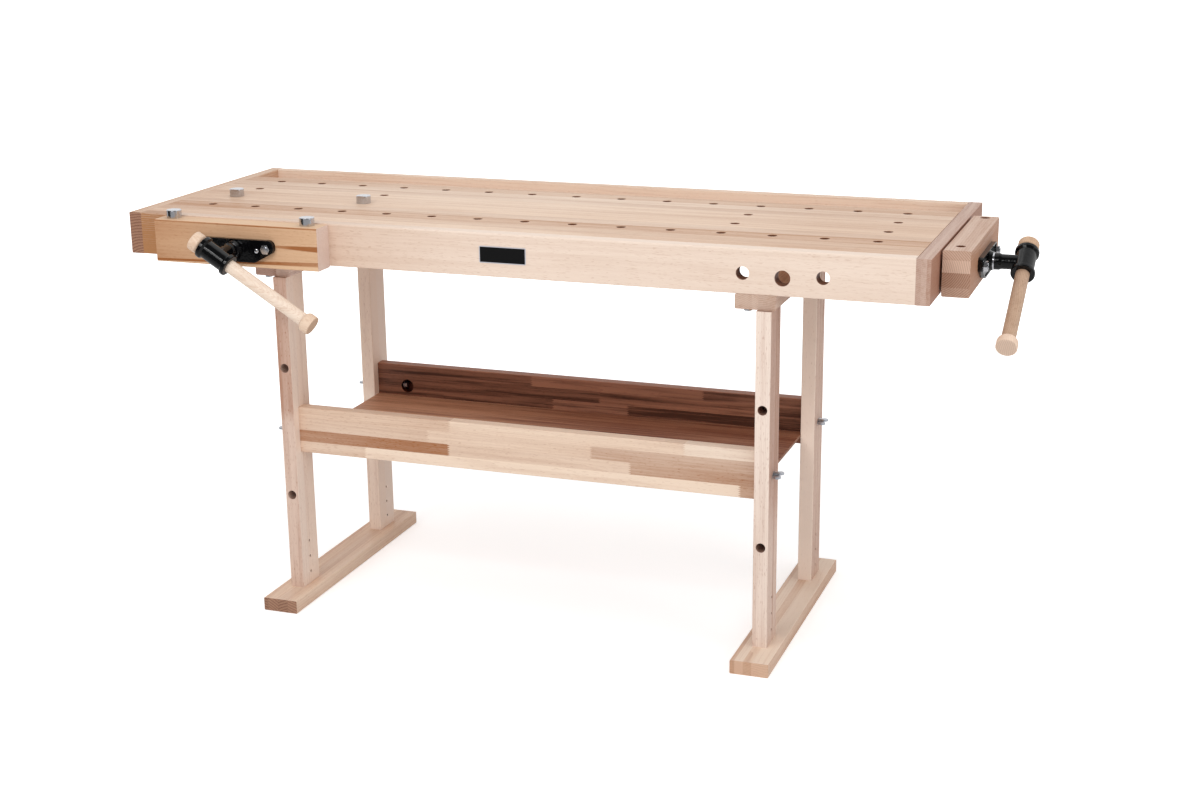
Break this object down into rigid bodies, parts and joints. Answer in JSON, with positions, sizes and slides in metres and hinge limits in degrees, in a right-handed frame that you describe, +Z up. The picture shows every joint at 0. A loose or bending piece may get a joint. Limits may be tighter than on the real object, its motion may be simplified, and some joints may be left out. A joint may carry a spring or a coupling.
{
  "type": "woodworking bench with vises",
  "caption": "Beech woodworking bench on two leg frames, with a tool tray, a low shelf, rows of dog holes, steel bench dogs, a front vise and an end vise on twin guide rods.",
  "frame": {"origin": "on the floor, under the middle of the whole bench's bounding box, both vises and their handles included", "axes": "+X along the bench from the left end to the end vise, +Y from the front apron to the tool tray, +Z up"},
  "size_m": [1.9016, 0.778, 0.867],
  "materials": {
    "beech": "oiled, satin",
    "plywood": "plain, matte",
    "pale_beech": "plain, satin",
    "black_enamel": "gloss enamel over cast iron",
    "bright_steel": "polished",
    "zinc": "zinc plated",
    "black_plate": "satin, with a thin pale border"
  },
  "bodies": {
    "bench": {"worktop_panel": "beech", "front_apron": "beech", "left_end_cap": "beech", "right_end_cap": "beech", "back_rail": "beech", "rear_rib": "beech", "tray_floor": "plywood", "badge_plate": "black_plate", "cap_dowels": "beech", "top_fixing_bolts": "zinc", "left_foot": "beech", "right_foot": "beech", "left_bearer": "beech", "right_bearer": "beech", "left_front_leg": "beech", "left_rear_leg": "beech", "right_front_leg": "beech", "right_rear_leg": "beech", "front_stretcher": "beech", "rear_stretcher": "beech", "shelf_panel": "plywood", "stretcher_rods": "zinc", "rod_washers": "zinc", "rod_nuts": "zinc", "wing_nuts": "zinc", "front_nut_casting": "black_enamel", "front_flange_screws": "zinc", "end_nut_casting": "black_enamel", "end_flange_screws": "zinc"},
    "front_jaw_group": {"front_jaw": "beech", "front_vise_plate": "black_enamel", "front_guide_rods": "bright_steel", "front_guide_nuts": "bright_steel", "front_plate_screws": "bright_steel"},
    "front_screw_group": {"front_screw": "bright_steel", "front_thrust_ring": "bright_steel", "front_collar": "bright_steel", "front_handle_hub": "black_enamel"},
    "front_handle": {"front_handle_bar": "pale_beech", "front_upper_knob": "pale_beech", "front_lower_knob": "pale_beech"},
    "end_jaw_group": {"end_jaw": "beech", "end_vise_plate": "black_enamel", "end_guide_rods": "bright_steel", "end_guide_nuts": "bright_steel", "end_plate_screws": "bright_steel"},
    "end_screw_group": {"end_screw": "bright_steel", "end_thrust_ring": "bright_steel", "end_collar": "bright_steel", "end_handle_hub": "black_enamel"},
    "end_handle": {"end_handle_bar": "beech", "end_upper_knob": "beech", "end_lower_knob": "beech"},
    "top_left_dog": {"top_left_dog": "bright_steel"},
    "top_right_dog": {"top_right_dog": "bright_steel"},
    "jaw_left_dog": {"jaw_left_dog": "bright_steel"},
    "jaw_right_dog": {"jaw_right_dog": "bright_steel"}
  },
  "joints": [
    {"name": "front_jaw_slide", "type": "slide", "parent": "bench", "child": "front_jaw_group", "axis": [0, -1, 0], "range_m": [0, 0.15]},
    {"name": "front_screw_turn", "type": "hinge", "parent": "front_jaw_group", "child": "front_screw_group", "pos_m": [-0.6623, -0.365, 0.7955], "axis": [0, -1, 0], "range_deg": [0, 10800]},
    {"name": "front_handle_slide", "type": "slide", "parent": "front_screw_group", "child": "front_handle", "axis": [-0.8499, 0, 0.527], "range_m": [0, 0.193]},
    {"name": "end_jaw_slide", "type": "slide", "parent": "bench", "child": "end_jaw_group", "axis": [1, 0, 0], "range_m": [-0.0046, 0.145]},
    {"name": "end_screw_turn", "type": "hinge", "parent": "end_jaw_group", "child": "end_screw_group", "pos_m": [0.9268, 0.043, 0.7955], "axis": [1, 0, 0], "range_deg": [-331, 10440]},
    {"name": "end_handle_slide", "type": "slide", "parent": "end_screw_group", "child": "end_handle", "axis": [0, 0.8829, 0.4695], "range_m": [0, 0.193]},
    {"name": "top_left_dog_lift", "type": "slide", "parent": "bench", "child": "top_left_dog", "axis": [0, 0, 1], "range_m": [0, 0.05]},
    {"name": "top_right_dog_lift", "type": "slide", "parent": "bench", "child": "top_right_dog", "axis": [0, 0, 1], "range_m": [0, 0.05]},
    {"name": "jaw_left_dog_lift", "type": "slide", "parent": "front_jaw_group", "child": "jaw_left_dog", "axis": [0, 0, 1], "range_m": [0, 0.05]},
    {"name": "jaw_right_dog_lift", "type": "slide", "parent": "front_jaw_group", "child": "jaw_right_dog", "axis": [0, 0, 1], "range_m": [0, 0.05]}
  ],
  "couplings": [
    {"joint": "front_jaw_slide", "follows": "front_screw_turn", "m_per_rad": 0.00079577},
    {"joint": "end_jaw_slide", "follows": "end_screw_turn", "m_per_rad": 0.00079577}
  ]
}
